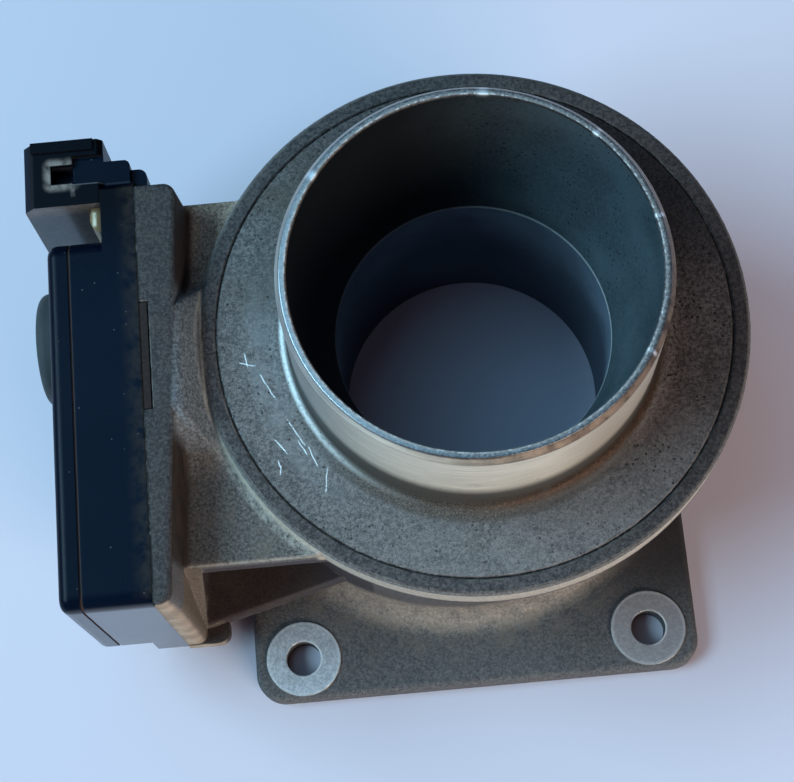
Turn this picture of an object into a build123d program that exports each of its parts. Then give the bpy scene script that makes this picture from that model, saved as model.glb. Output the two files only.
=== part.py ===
from build123d import *
import os
from math import cos, radians, sin

# Bypass-type hot-wire mass airflow sensor, millimetres.
# Origin on the bore axis in the flange's bottom face, +Z along the bore towards the hose spigot,
# the electronics box hangs on the -X side and the flange's wide lip points to -Y.

os.makedirs("parts", exist_ok=True)

# ---- bore, spigot and turned body -------------------------------------------------------------
BORE_R = 26.5
THROAT_Z = 43.0
SPIGOT_R = 35.0
SPIGOT_TOP = 80.4
SPIGOT_WALL = 2.1
SPIGOT_LIP = 1.2
SPIGOT_FOOT_R = 4.0
RIM_WALL = 3.35
RIM_TOP = 50.7
RIM_LOW = 43.2
RIM_ROOT_R = 44.0
RIM_ROOT_Z = 35.5
RIM_BLEND = 2.6
COVER_R = 48.75
COVER_T = 5.4
SEAM_GAP = 0.12
SEAM_BEVEL = 0.35
TUBE_R = 30.2
NECK_R = 46.6
NECK_FOOT = 5.0

# ---- bypass channel around the bore -----------------------------------------------------------
CHANNEL_R_IN = 30.2
CHANNEL_R_OUT = 39.5
CHANNEL_LOW = 16.0
CHANNEL_GAP_DEG = 34.0
PASSAGE_R = 5.8
PASSAGE_X = -38.4
OUTLET_W = 15.0
OUTLET_H = 4.5

# ---- bolt flange ------------------------------------------------------------------------------
FLANGE_X = (-49.6, 40.8)
FLANGE_Y = (-61.6, 50.0)
FLANGE_T = 4.6
FLANGE_CORNER = 5.8
FLANGE_ROUND = 1.2
BOLT_EDGE_X = 9.9
BOLT_EDGE_Y = 8.3
BOLT_HOLE_R = 3.5
BOLT_RING_R = 7.6
BOLT_RING_H = 0.4

# ---- pad that carries the electronics box, its webs and the crown between them ----------------
PAD_X = -62.0
PAD_Y = (-49.7, 31.2)
PAD_Z = (9.9, 58.0)
PAD_THIN = 3.9
PAD_THICK = 8.8
PAD_DRAFT = 0.8
PAD_CORNER = 2.4
PAD_ROUND = 0.6
WEB_TOP = 47.4
WEB_T = 4.4
WEB_FRONT = -41.5
GUSSET_LOW = 11.0
GUSSET_T = 4.0
GUSSET_FRONT = -46.9
CHEEK_T = (4.2, 7.6)
LUG_X = -53.5
LUG_ROUND = 2.2
CROWN_HALF = 14.2
CROWN_RUN = 8.0
CROWN_END = -46.6
SENSOR_Y = -3.5
SENSOR_Z = 26.0
TAB_Y = (-13.2, 7.6)
TAB_T = 1.5
TAB_H = 9.0

# ---- electronics box --------------------------------------------------------------------------
BOX_Y = (-49.5, 21.2)
BOX_LOW = 15.6
BOX_STEP_X = -68.4
SEAM_X = -74.6
LID_X = -79.1
SEALANT_T = 0.45
WALL = 2.2
FLOOR_X = -66.5
EDGE_R = 3.0
LID_ROUND = 2.0
BACK_Y = 32.6

# ---- connector --------------------------------------------------------------------------------
CONN_X = (-83.0, -67.6)
CONN_Y = (28.3, 41.6)
CONN_LOW = 27.0
CONN_WALL = 1.8
CONN_BACK = 2.8
CONN_CHAMFER = 2.0
CONN_STEP = 1.2
LATCH_X = (-77.5, -73.5)
LATCH_Y = (32.9, 36.6)
LATCH_DEPTH = 4.0
TERMINALS = 6
TERMINAL_LOW = 33.5
TERMINAL_PITCH = 3.0
TERMINAL_T = 0.8

# ---- probe and circuit ------------------------------------------------------------------------
PROBE_R = 6.4
PROBE_CLEAR = 0.2
PROBE_END = -45.6
PROBE_FLANGE_R = 8.0
PROBE_FLANGE_T = 1.4
PIN_R = 0.4
PIN_DY = 2.0
PIN_DZ = 2.5
ELEMENT_X = -37.6
PLATE_T = 1.5
BOARD_T = 1.0
SCREW_R = 1.5
SCREW_HEAD_R = 2.6
SCREW_HEAD_H = 1.8
SCREW_BITE = 2.6
IC_W = 12.0
IC_L = 9.0
IC_H = 1.7
TRANSISTOR_W = 9.0
TRANSISTOR_L = 10.0
TRANSISTOR_H = 2.3
TRANSISTOR_TAB = 3.0
CHIP_L = 3.2
CAPACITOR_W = 2.4
CAPACITOR_H = 1.5
RESISTOR_W = 1.6
RESISTOR_H = 0.6
STRIP_T = 0.25
GEL_DEPTH = 2.6
PLUG_Y = 7.0
PLUG_Z = 36.5
PLUG_R = 11.2
PLUG_OUT = 4.8
PLUG_NECK_R = 7.4

# ---- derived placements -----------------------------------------------------------------------
RIM_R = COVER_R + RIM_WALL
flange_cx = sum(FLANGE_X) / 2
flange_cy = sum(FLANGE_Y) / 2
flange_w = FLANGE_X[1] - FLANGE_X[0]
flange_d = FLANGE_Y[1] - FLANGE_Y[0]
bolt_dx = flange_w - 2 * BOLT_EDGE_X
bolt_dy = flange_d - 2 * BOLT_EDGE_Y
ring_top = FLANGE_T + BOLT_RING_H
ledge_z = RIM_TOP - COVER_T
plate_x = FLOOR_X - PLATE_T
board_x = plate_x - BOARD_T
gel_x = board_x - GEL_DEPTH
lid_inner_x = SEAM_X - SEALANT_T
tray_y = (BOX_Y[0] + WALL, BOX_Y[1] - WALL)
tray_z = (BOX_LOW + WALL, PAD_Z[1] - WALL)
screw_in = SCREW_HEAD_R + 0.7
screw_yz = [
    (y, z)
    for y in (tray_y[0] + screw_in, tray_y[1] - screw_in)
    for z in (tray_z[0] + screw_in, tray_z[1] - screw_in)
]
pin_yz = [(SENSOR_Y + a * PIN_DY, SENSOR_Z + b * PIN_DZ) for a in (-1, 1) for b in (-1, 1)]
terminal_z = [TERMINAL_LOW + TERMINAL_PITCH * i for i in range(TERMINALS)]


def block(x, y, z, mode=Mode.ADD):
    """Box between two corners given as three pairs."""
    with Locations(((x[0] + x[1]) / 2, (y[0] + y[1]) / 2, (z[0] + z[1]) / 2)):
        Box(abs(x[1] - x[0]), abs(y[1] - y[0]), abs(z[1] - z[0]), mode=mode)


def rod_x(x0, x1, y, z, r, mode=Mode.ADD):
    """Round bar along X."""
    with Locations(Location(((x0 + x1) / 2, y, z), (0, 90, 0))):
        Cylinder(r, abs(x1 - x0), mode=mode)


# ================================================================================================
# body casting
# ================================================================================================
with BuildPart() as neck_foot:
    # concave foot where the neck runs out onto the flange, trimmed to the flange's outline
    with BuildSketch(Plane.XZ) as foot_profile:
        with BuildLine():
            Polyline(
                (NECK_R + NECK_FOOT, FLANGE_T),
                (NECK_R - 6, FLANGE_T),
                (NECK_R - 6, FLANGE_T + NECK_FOOT),
                (NECK_R, FLANGE_T + NECK_FOOT),
            )
            RadiusArc(
                (NECK_R, FLANGE_T + NECK_FOOT),
                (NECK_R + NECK_FOOT, FLANGE_T),
                -NECK_FOOT,
            )
        make_face()
    revolve(axis=Axis.Z)
foot_part = Location((flange_cx, 0, 0)) * neck_foot.part

with BuildPart() as foot_trimmed:
    add(foot_part)
    with BuildSketch(Plane.XY.offset(FLANGE_T)):
        with Locations((flange_cx, flange_cy)):
            RectangleRounded(flange_w - 2 * FLANGE_ROUND, flange_d - 2 * FLANGE_ROUND, FLANGE_CORNER)
    extrude(amount=NECK_FOOT + 1, mode=Mode.INTERSECT)

def pad_outline(inset):
    """Plan of the pad, a wedge: thin at the front, thick at the back, its two free corners rounded."""
    outline = Polygon(
        (PAD_X, PAD_Y[0]),
        (PAD_X + PAD_THIN - inset, PAD_Y[0]),
        (PAD_X + PAD_THICK - inset, PAD_Y[1]),
        (PAD_X, PAD_Y[1]),
        align=None,
    )
    fillet(outline.vertices().sort_by(Axis.X)[-2:], radius=PAD_CORNER)


with BuildPart() as pad:
    with BuildSketch(Plane.XY.offset(PAD_Z[0])):
        pad_outline(0)
    extrude(amount=WEB_TOP - PAD_Z[0])
    # drawn in a little above the web
    with BuildSketch(Plane.XY.offset(WEB_TOP)):
        pad_outline(0)
    with BuildSketch(Plane.XY.offset(PAD_Z[1])):
        pad_outline(PAD_DRAFT)
    loft()
    fillet(pad.faces().sort_by(Axis.Z)[-1].edges().sort_by(Axis.X)[1:], radius=PAD_ROUND)

with BuildPart() as web:
    # upper web, its front edge rounded
    with BuildSketch(Plane.XY.offset(WEB_TOP - WEB_T)):
        with Locations((PAD_X + 2, WEB_FRONT)):
            Rectangle(34.0, PAD_Y[1] - 0.6 - WEB_FRONT, align=Align.MIN)
    extrude(amount=WEB_T)
    fillet(web.faces().sort_by(Axis.Z)[-1].edges().sort_by(Axis.Y)[0], radius=1.0)

with BuildPart() as cheek:
    # pocket's inner wall against the pad, leaning with the casting's draft
    cheek_back = SENSOR_Y - CROWN_HALF + 2
    for z, front, t in ((GUSSET_LOW + GUSSET_T - 1, GUSSET_FRONT, CHEEK_T[0]), (WEB_TOP - 1, WEB_FRONT, CHEEK_T[1])):
        with BuildSketch(Plane.XY.offset(z)):
            with Locations((PAD_X + 1, front)):
                Rectangle(t - 1, cheek_back - front, align=Align.MIN)
    loft()

with BuildPart() as gusset:
    # lower gusset from the pad's foot to the neck
    with BuildSketch(Plane.XY.offset(GUSSET_LOW)):
        with BuildLine():
            Polyline(
                (PAD_X + 1, GUSSET_FRONT),
                (PAD_X + 3.5, GUSSET_FRONT),
                (-28.7, -39.1),
                (-28.7, 37.0),
                (PAD_X + PAD_THICK, PAD_Y[1]),
                (PAD_X + 1, PAD_Y[1]),
                close=True,
            )
        make_face()
    extrude(amount=GUSSET_T)
    fillet(gusset.faces().sort_by(Axis.Z)[-1].edges().sort_by(Axis.Y)[:2], radius=0.7)

with BuildPart() as lug:
    # lug at the pad's lower front corner, under the gusset
    with BuildSketch(Plane.XY.offset(PAD_Z[0])):
        with Locations((PAD_X, PAD_Y[0] - 0.2)):
            lug_plan = Rectangle(LUG_X - PAD_X, 5.6, align=Align.MIN)
        fillet(lug_plan.vertices().sort_by(Axis.X)[-2:], radius=LUG_ROUND)
    extrude(amount=GUSSET_LOW + 2.2 - PAD_Z[0])

with BuildPart() as crown:
    # closed block round the probe: it falls from the pad to the rim, and to the web on both sides
    crown_top = PAD_Z[1]
    reach = CROWN_HALF + CROWN_RUN
    with BuildSketch(Plane.XZ.offset(-(SENSOR_Y + reach))):
        with BuildLine():
            Polyline((PAD_X + 3, GUSSET_LOW), (PAD_X + 3, crown_top), (PAD_X + 5.6, crown_top))
            Spline(
                (PAD_X + 5.6, crown_top),
                (PAD_X + 9.4, (crown_top + WEB_TOP) / 2),
                (CROWN_END, WEB_TOP + 0.3),
                tangents=[(1, -0.35), (1, -0.12)],
            )
            Polyline(
                (CROWN_END, WEB_TOP + 0.3),
                (CROWN_END + 5, WEB_TOP - 3),
                (CROWN_END + 5, GUSSET_LOW),
                (PAD_X + 3, GUSSET_LOW),
            )
        make_face()
    extrude(amount=2 * reach)
    with BuildSketch(Plane.YZ.offset(PAD_X)):
        with BuildLine():
            for side in (-1, 1):
                Polyline(
                    (SENSOR_Y + side * (CROWN_HALF - 5), crown_top),
                    (SENSOR_Y, crown_top),
                )
                Spline(
                    (SENSOR_Y + side * reach, WEB_TOP - 0.1),
                    (SENSOR_Y + side * (CROWN_HALF + 0.6), WEB_TOP + 3.4),
                    (SENSOR_Y + side * (CROWN_HALF - 5), crown_top),
                    tangents=[(-side, 0.08), (-side, 0.5)],
                )
                Polyline(
                    (SENSOR_Y + side * reach, WEB_TOP - 0.1),
                    (SENSOR_Y + side * reach, WEB_TOP - 1),
                    (SENSOR_Y + side * CROWN_HALF, WEB_TOP - 1),
                    (SENSOR_Y + side * CROWN_HALF, GUSSET_LOW),
                    (SENSOR_Y, GUSSET_LOW),
                )
        make_face()
    extrude(amount=24, mode=Mode.INTERSECT)

with BuildPart() as rim_blend:
    # concave run-out between the web and the rim
    with BuildSketch(Plane.XZ):
        with BuildLine():
            Polyline(
                (RIM_R + RIM_BLEND, WEB_TOP),
                (RIM_R + RIM_BLEND, WEB_TOP - 0.5),
                (RIM_R - 1, WEB_TOP - 0.5),
                (RIM_R - 1, WEB_TOP + RIM_BLEND),
                (RIM_R, WEB_TOP + RIM_BLEND),
            )
            RadiusArc((RIM_R, WEB_TOP + RIM_BLEND), (RIM_R + RIM_BLEND, WEB_TOP), -RIM_BLEND)
        make_face()
    revolve(axis=Axis.Z)
    with BuildSketch(Plane.XY.offset(WEB_TOP - 1)):
        with Locations((PAD_X + 2, WEB_FRONT + 0.4)):
            Rectangle(34.0, PAD_Y[1] - 1.2 - WEB_FRONT, align=Align.MIN)
    extrude(amount=RIM_BLEND + 2, mode=Mode.INTERSECT)

with BuildPart() as rim:
    # turned head: rim, floor and the flare that runs down into the neck
    with BuildSketch(Plane.XZ):
        with BuildLine():
            Polyline(
                (RIM_ROOT_R, RIM_ROOT_Z),
                (TUBE_R - 0.2, RIM_ROOT_Z),
                (TUBE_R - 0.2, ledge_z),
                (COVER_R + SEAM_GAP, ledge_z),
                (COVER_R + SEAM_GAP, RIM_TOP - SEAM_BEVEL),
                (COVER_R + SEAM_GAP + SEAM_BEVEL, RIM_TOP),
                (RIM_R - 0.7, RIM_TOP),
                (RIM_R, RIM_TOP - 0.7),
                (RIM_R, RIM_LOW + 0.8),
                (RIM_R - 0.8, RIM_LOW),
            )
            ThreePointArc(
                (RIM_R - 0.8, RIM_LOW),
                (RIM_R - 5.8, RIM_LOW - 2.4),
                (RIM_ROOT_R, RIM_ROOT_Z),
            )
        make_face()
    revolve(axis=Axis.Z)

with BuildPart() as body:
    # bolt flange
    with BuildSketch(Plane.XY):
        with Locations((flange_cx, flange_cy)):
            RectangleRounded(flange_w, flange_d, FLANGE_CORNER)
    extrude(amount=FLANGE_T)
    fillet(body.faces().sort_by(Axis.Z)[-1].edges(), radius=FLANGE_ROUND)
    # neck
    with BuildSketch(Plane.XY):
        with Locations((flange_cx, 0)):
            Circle(NECK_R)
    extrude(amount=ledge_z - 1.0)
    for piece in (foot_trimmed, rim, pad, web, cheek, gusset, lug, crown, rim_blend):
        add(piece.part)
    # everything the turned cover and the bore need
    with BuildSketch(Plane.XY.offset(ledge_z)):
        Circle(COVER_R + SEAM_GAP)
    extrude(amount=20, mode=Mode.SUBTRACT)
    with BuildSketch(Plane.XY):
        Circle(BORE_R)
    extrude(amount=60, mode=Mode.SUBTRACT)
    with BuildSketch(Plane.XY.offset(THROAT_Z)):
        Circle(TUBE_R)
    extrude(amount=20, mode=Mode.SUBTRACT)
    # bypass channel: a groove round the bore, stopped on the probe's side
    with BuildSketch(Plane.XZ):
        with Locations(((CHANNEL_R_IN + CHANNEL_R_OUT) / 2, (CHANNEL_LOW + ledge_z) / 2)):
            Rectangle(CHANNEL_R_OUT - CHANNEL_R_IN, ledge_z - CHANNEL_LOW)
    revolve(axis=Axis.Z, revolution_arc=180 - CHANNEL_GAP_DEG, mode=Mode.SUBTRACT)
    with BuildSketch(Plane.XZ):
        with Locations(((CHANNEL_R_IN + CHANNEL_R_OUT) / 2, (CHANNEL_LOW + ledge_z) / 2)):
            Rectangle(CHANNEL_R_OUT - CHANNEL_R_IN, ledge_z - CHANNEL_LOW)
    revolve(axis=Axis.Z, revolution_arc=-(180 - CHANNEL_GAP_DEG), mode=Mode.SUBTRACT)
    # straight passage past the hot wire, its flared inlet and its port into the groove
    with Locations((PASSAGE_X, SENSOR_Y, ledge_z / 2)):
        Cylinder(PASSAGE_R, ledge_z + 0.2, mode=Mode.SUBTRACT)
    with Locations((PASSAGE_X, SENSOR_Y, 0.7)):
        Cone(PASSAGE_R + 1.6, PASSAGE_R, 1.6, mode=Mode.SUBTRACT)
    block((-38.5, -32.0), (-24.0, SENSOR_Y), (37.5, ledge_z + 0.1), mode=Mode.SUBTRACT)
    # outlets from the groove into the bore, under the throat
    for turn in (245, 295):
        with Locations(Location((0, 0, THROAT_Z - 3.2 - OUTLET_H / 2), (0, 0, turn))):
            with Locations((BORE_R + 1.5, 0, 0)):
                Box(8, OUTLET_W, OUTLET_H, mode=Mode.SUBTRACT)
    # probe hole, screw holes and the recess that takes the housing's tab
    rod_x(PAD_X - 1, PASSAGE_X, SENSOR_Y, SENSOR_Z, PROBE_R + PROBE_CLEAR, mode=Mode.SUBTRACT)
    for y, z in screw_yz:
        rod_x(PAD_X - 1, PAD_X + SCREW_BITE + 0.2, y, z, SCREW_R + 0.03, mode=Mode.SUBTRACT)
    block(
        (PAD_X - 1, PAD_X + TAB_T + 0.25),
        (TAB_Y[0] - 0.15, TAB_Y[1] + 0.15),
        (PAD_Z[1] - TAB_H - 0.2, PAD_Z[1] + 1),
        mode=Mode.SUBTRACT,
    )
    # machined rings round the bolt holes
    with Locations((flange_cx, flange_cy, FLANGE_T)):
        with GridLocations(bolt_dx, bolt_dy, 2, 2):
            Cylinder(BOLT_RING_R, BOLT_RING_H, align=(Align.CENTER, Align.CENTER, Align.MIN))
    with Locations((flange_cx, flange_cy, ring_top)):
        with GridLocations(bolt_dx, bolt_dy, 2, 2):
            Cylinder(
                BOLT_RING_R, 6.0, align=(Align.CENTER, Align.CENTER, Align.MIN), mode=Mode.SUBTRACT
            )
    with Locations((flange_cx, flange_cy, 0)):
        with GridLocations(bolt_dx, bolt_dy, 2, 2):
            Cylinder(BOLT_HOLE_R, 20, mode=Mode.SUBTRACT)
body.part.label = "body_casting"
export_step(body.part, "parts/body_casting.step")

# ================================================================================================
# inlet cover: ring, spigot and funnel turned as one piece
# ================================================================================================
with BuildPart() as cover:
    with BuildSketch(Plane.XZ):
        with BuildLine():
            Polyline(
                (TUBE_R - 0.15, ledge_z),
                (COVER_R, ledge_z),
                (COVER_R, RIM_TOP - SEAM_BEVEL),
                (COVER_R - SEAM_BEVEL, RIM_TOP),
                (SPIGOT_R + SPIGOT_FOOT_R, RIM_TOP),
            )
            RadiusArc(
                (SPIGOT_R + SPIGOT_FOOT_R, RIM_TOP),
                (SPIGOT_R, RIM_TOP + SPIGOT_FOOT_R),
                SPIGOT_FOOT_R,
            )
            Polyline(
                (SPIGOT_R, RIM_TOP + SPIGOT_FOOT_R),
                (SPIGOT_R, SPIGOT_TOP - 1.3),
                (SPIGOT_R - SPIGOT_WALL + SPIGOT_LIP, SPIGOT_TOP),
                (SPIGOT_R - SPIGOT_WALL + 0.25, SPIGOT_TOP),
                (SPIGOT_R - SPIGOT_WALL, SPIGOT_TOP - 0.25),
            )
            Spline(
                (SPIGOT_R - SPIGOT_WALL, SPIGOT_TOP - 0.25),
                (31.2, 64.0),
                (28.4, 51.5),
                (BORE_R, THROAT_Z + 0.02),
                tangents=[(-0.04, -1), (-0.2, -1)],
            )
            Polyline(
                (BORE_R, THROAT_Z + 0.02),
                (TUBE_R - 0.15, THROAT_Z + 0.02),
                (TUBE_R - 0.15, ledge_z),
            )
        make_face()
    revolve(axis=Axis.Z)
cover.part.label = "inlet_cover"
export_step(cover.part, "parts/inlet_cover.step")

# ================================================================================================
# connector terminals: stamped strips, cranked through the housing's wall
# ================================================================================================
with BuildPart() as terminals:
    for z in terminal_z:
        with BuildSketch(Plane.XY.offset(z - TERMINAL_T / 2)):
            with BuildLine():
                Polyline(
                    (board_x + TERMINAL_T / 2, tray_y[1] - 4.6),
                    (board_x + TERMINAL_T / 2, tray_y[1] - 1.6),
                    (FLOOR_X + 2.0, tray_y[1] - 1.6),
                    (FLOOR_X + 2.0, CONN_Y[0] + CONN_BACK / 2),
                    (sum(CONN_X) / 2, CONN_Y[0] + CONN_BACK / 2),
                    (sum(CONN_X) / 2, CONN_Y[1] - 3.2),
                )
            trace(line_width=TERMINAL_T)
        extrude(amount=TERMINAL_T)
terminals.part.label = "connector_terminals"
export_step(terminals.part, "parts/connector_terminals.step")

# ================================================================================================
# sensor housing: tray, base step, tab and connector shroud moulded in one
# ================================================================================================
with BuildPart() as base_step:
    # deeper base with the back extension
    block((BOX_STEP_X, PAD_X), (BOX_Y[0], BACK_Y), (PAD_Z[0] + 0.6, PAD_Z[1]))
    fillet(base_step.edges().filter_by(Axis.X).sort_by(lambda e: e.center().Y - e.center().Z)[0], radius=EDGE_R)
    chamfer(base_step.edges().filter_by(Axis.X).sort_by(Axis.Y)[-2:], length=1.6)

with BuildPart() as neck_blocks:
    # two lower steps behind the tray that carry the connector
    block((CONN_X[1] - 1, PAD_X - 0.6), (BOX_Y[1] - 1, BACK_Y + 4.6), (CONN_LOW, PAD_Z[1] - CONN_STEP))
    fillet(neck_blocks.edges().filter_by(Axis.Z).group_by(Axis.X)[-1].sort_by(Axis.Y)[-1], radius=1.2)
    block((PAD_X - 3, PAD_X + 2.4), (PAD_Y[1] + 0.1, BACK_Y + 2.9), (CONN_LOW + 4, PAD_Z[1] - 2.4))
    fillet(neck_blocks.edges().filter_by(Axis.Z).group_by(Axis.X)[-1].sort_by(Axis.Y)[-1], radius=1.6)

with BuildPart() as column:
    # rounded column in the corner between shroud and tray
    with BuildSketch(Plane.XY.offset(CONN_LOW)):
        with BuildLine():
            Polyline((CONN_X[1] - 2.6, CONN_Y[0] + 0.5), (CONN_X[1], CONN_Y[0] + 0.5), (CONN_X[1], CONN_Y[0] - 5.2))
            Spline(
                (CONN_X[1], CONN_Y[0] - 5.2),
                (CONN_X[1] - 3.0, CONN_Y[0] - 3.4),
                (CONN_X[1] - 2.6, CONN_Y[0] + 0.5),
                tangents=[(-1, 0), (0.4, 1)],
            )
        make_face()
    extrude(amount=PAD_Z[1] - CONN_LOW - 2.4)

with BuildPart() as housing:
    # outer part of the tray
    block((SEAM_X, PAD_X), BOX_Y, (BOX_LOW, PAD_Z[1]))
    fillet(housing.edges().filter_by(Axis.X), radius=EDGE_R)
    for piece in (base_step, neck_blocks, column):
        add(piece.part)
    with BuildSketch(Plane.XZ.offset(-CONN_Y[1])):
        with BuildLine():
            Polyline(
                (CONN_X[1], CONN_LOW),
                (CONN_X[0] + CONN_CHAMFER, CONN_LOW),
                (CONN_X[0], CONN_LOW + CONN_CHAMFER),
                (CONN_X[0], PAD_Z[1] - CONN_CHAMFER),
                (CONN_X[0] + CONN_CHAMFER, PAD_Z[1]),
                (CONN_X[1] - 1.0, PAD_Z[1]),
                (CONN_X[1], PAD_Z[1] - 1.0),
                close=True,
            )
        make_face()
    extrude(amount=CONN_Y[1] - CONN_Y[0])
    # rim round the mouth
    with BuildSketch(Plane.XZ.offset(-CONN_Y[1])):
        with Locations((sum(CONN_X) / 2, (CONN_LOW + PAD_Z[1]) / 2)):
            Rectangle(CONN_X[1] - CONN_X[0] - 3.4, PAD_Z[1] - CONN_LOW + 1.0)
    extrude(amount=2.2)
    block((CONN_X[1] - 0.2, CONN_X[1] + 2.4), (BOX_Y[1] - 1, CONN_Y[0] + 0.5), (CONN_LOW, PAD_Z[1] - 3.0))
    # tab let into the pad
    block((PAD_X, PAD_X + TAB_T), TAB_Y, (PAD_Z[1] - TAB_H, PAD_Z[1] - 0.15))
    # tray cavity
    block((SEAM_X - 1, FLOOR_X), tray_y, tray_z, mode=Mode.SUBTRACT)
    # connector socket and latch window
    block(
        (CONN_X[0] + CONN_WALL, CONN_X[1] - CONN_WALL),
        (CONN_Y[0] + CONN_BACK, CONN_Y[1] + 1),
        (CONN_LOW + CONN_WALL, PAD_Z[1] - CONN_WALL),
        mode=Mode.SUBTRACT,
    )
    # blind window for the plug's latch, in a block under the shroud's top, and the step beside it
    block(
        (LATCH_X[0] - 1.0, LATCH_X[1] + 1.0),
        (CONN_Y[0] + CONN_BACK - 0.1, LATCH_Y[1] + 1.2),
        (PAD_Z[1] - LATCH_DEPTH - 1.2, PAD_Z[1] - CONN_WALL + 0.1),
    )
    block(LATCH_X, LATCH_Y, (PAD_Z[1] - LATCH_DEPTH, PAD_Z[1] + 2), mode=Mode.SUBTRACT)
    block(
        (LATCH_X[1], CONN_X[1] + 1),
        (BACK_Y, CONN_Y[1] - 3.2),
        (PAD_Z[1] - CONN_STEP, PAD_Z[1] + 1),
        mode=Mode.SUBTRACT,
    )
    # probe and screw holes in the floor
    rod_x(PAD_X - 6, PAD_X + 1, SENSOR_Y, SENSOR_Z, PROBE_R + PROBE_CLEAR, mode=Mode.SUBTRACT)
    for y, z in screw_yz:
        rod_x(PAD_X - 6, PAD_X + 1, y, z, SCREW_R + 0.2, mode=Mode.SUBTRACT)
    add(terminals.part, mode=Mode.SUBTRACT)
housing.part.label = "sensor_housing"
export_step(housing.part, "parts/sensor_housing.step")

# ================================================================================================
# lid, its sealant bead and the plug in it
# ================================================================================================
with BuildPart() as sealant:
    block((lid_inner_x, SEAM_X), (BOX_Y[0] + 0.3, BOX_Y[1] - 0.3), (BOX_LOW + 0.3, PAD_Z[1] - 0.3))
    fillet(sealant.edges().filter_by(Axis.X), radius=EDGE_R - 0.3)
    block((lid_inner_x - 1, SEAM_X + 1), tray_y, tray_z, mode=Mode.SUBTRACT)
sealant.part.label = "lid_sealant"
export_step(sealant.part, "parts/lid_sealant.step")

with BuildPart() as lid:
    block((LID_X, lid_inner_x), BOX_Y, (BOX_LOW, PAD_Z[1]))
    fillet(lid.edges().filter_by(Axis.X), radius=EDGE_R)
    fillet(lid.faces().sort_by(Axis.X)[0].edges(), radius=LID_ROUND)
    block((LID_X + WALL, lid_inner_x + 1), tray_y, tray_z, mode=Mode.SUBTRACT)
    rod_x(LID_X - 1, LID_X + WALL + 1, PLUG_Y, PLUG_Z, PLUG_NECK_R + 0.1, mode=Mode.SUBTRACT)
lid.part.label = "housing_lid"
export_step(lid.part, "parts/housing_lid.step")

with BuildPart() as plug:
    rod_x(LID_X - PLUG_OUT, LID_X, PLUG_Y, PLUG_Z, PLUG_R)
    fillet(plug.faces().sort_by(Axis.X)[0].edges(), radius=1.8)
    rod_x(LID_X, LID_X + WALL, PLUG_Y, PLUG_Z, PLUG_NECK_R)
    rod_x(LID_X + WALL, LID_X + WALL + 0.9, PLUG_Y, PLUG_Z, PLUG_NECK_R + 0.6)
plug.part.label = "access_plug"
export_step(plug.part, "parts/access_plug.step")

# ================================================================================================
# probe: holder, seal, pins and the two sensing elements
# ================================================================================================
with BuildPart() as pins:
    for y, z in pin_yz:
        rod_x(board_x - 0.3, ELEMENT_X + 0.5, y, z, PIN_R)
pins.part.label = "support_pins"
export_step(pins.part, "parts/support_pins.step")

seal_x = PAD_X + 4.5
seal_r = 0.8
groove_r = PROBE_R + PROBE_CLEAR - 2 * seal_r
with BuildPart() as holder:
    rod_x(FLOOR_X, PROBE_END, SENSOR_Y, SENSOR_Z, PROBE_R)
    chamfer(holder.faces().sort_by(Axis.X)[-1].edges(), length=0.8)
    rod_x(FLOOR_X - PROBE_FLANGE_T, FLOOR_X, SENSOR_Y, SENSOR_Z, PROBE_FLANGE_R)
    with Locations(Location((seal_x, SENSOR_Y, SENSOR_Z), (0, 90, 0))):
        Cylinder(PROBE_R + 0.1, 2 * seal_r, mode=Mode.SUBTRACT)
        Cylinder(groove_r, 2 * seal_r + 0.4)
    add(pins.part, mode=Mode.SUBTRACT)
holder.part.label = "probe_holder"
export_step(holder.part, "parts/probe_holder.step")

with BuildPart() as seal:
    with Locations(Location((seal_x, SENSOR_Y, SENSOR_Z), (0, 90, 0))):
        Torus(groove_r + seal_r, seal_r - 0.01)
seal.part.label = "probe_seal"
export_step(seal.part, "parts/probe_seal.step")

element_l = 2 * (PIN_DZ - PIN_R)
with BuildPart() as hot_wire:
    with Locations((ELEMENT_X, SENSOR_Y - PIN_DY, SENSOR_Z)):
        Cylinder(0.3, element_l)
        Cylinder(0.45, element_l - 1.6)
hot_wire.part.label = "hot_wire"
export_step(hot_wire.part, "parts/hot_wire.step")

with BuildPart() as cold_wire:
    with Locations((ELEMENT_X, SENSOR_Y + PIN_DY, SENSOR_Z)):
        Cylinder(0.3, element_l)
        Cylinder(0.5, element_l - 1.4)
cold_wire.part.label = "temperature_element"
export_step(cold_wire.part, "parts/temperature_element.step")

# ================================================================================================
# circuit: base plate, board and what is on it
# ================================================================================================
circuit_y = (tray_y[0] + 6.2, tray_y[1] - 6.2)
circuit_z = (tray_z[0] + 1.4, tray_z[1] - 1.4)
window_r = PROBE_FLANGE_R + 0.4
with BuildPart() as base_plate:
    block((plate_x, FLOOR_X), circuit_y, circuit_z)
    rod_x(plate_x - 1, FLOOR_X + 1, SENSOR_Y, SENSOR_Z, window_r, mode=Mode.SUBTRACT)
base_plate.part.label = "base_plate"
export_step(base_plate.part, "parts/base_plate.step")

with BuildPart() as board:
    block((board_x, plate_x), (circuit_y[0] + 0.8, circuit_y[1] - 0.6), (circuit_z[0] + 0.8, circuit_z[1] - 0.8))
    rod_x(board_x - 1, plate_x + 1, SENSOR_Y, SENSOR_Z, window_r, mode=Mode.SUBTRACT)
board.part.label = "circuit_board"
export_step(board.part, "parts/circuit_board.step")

def on_board(share_y, share_z):
    """Place on the board as shares of its width and height."""
    return (
        circuit_y[0] + share_y * (circuit_y[1] - circuit_y[0]),
        circuit_z[0] + share_z * (circuit_z[1] - circuit_z[0]),
    )


def chip(place, width, length, height):
    """Component lying flat on the board, centred on its place."""
    y, z = place
    block((board_x - height, board_x), (y - width / 2, y + width / 2), (z - length / 2, z + length / 2))


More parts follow.
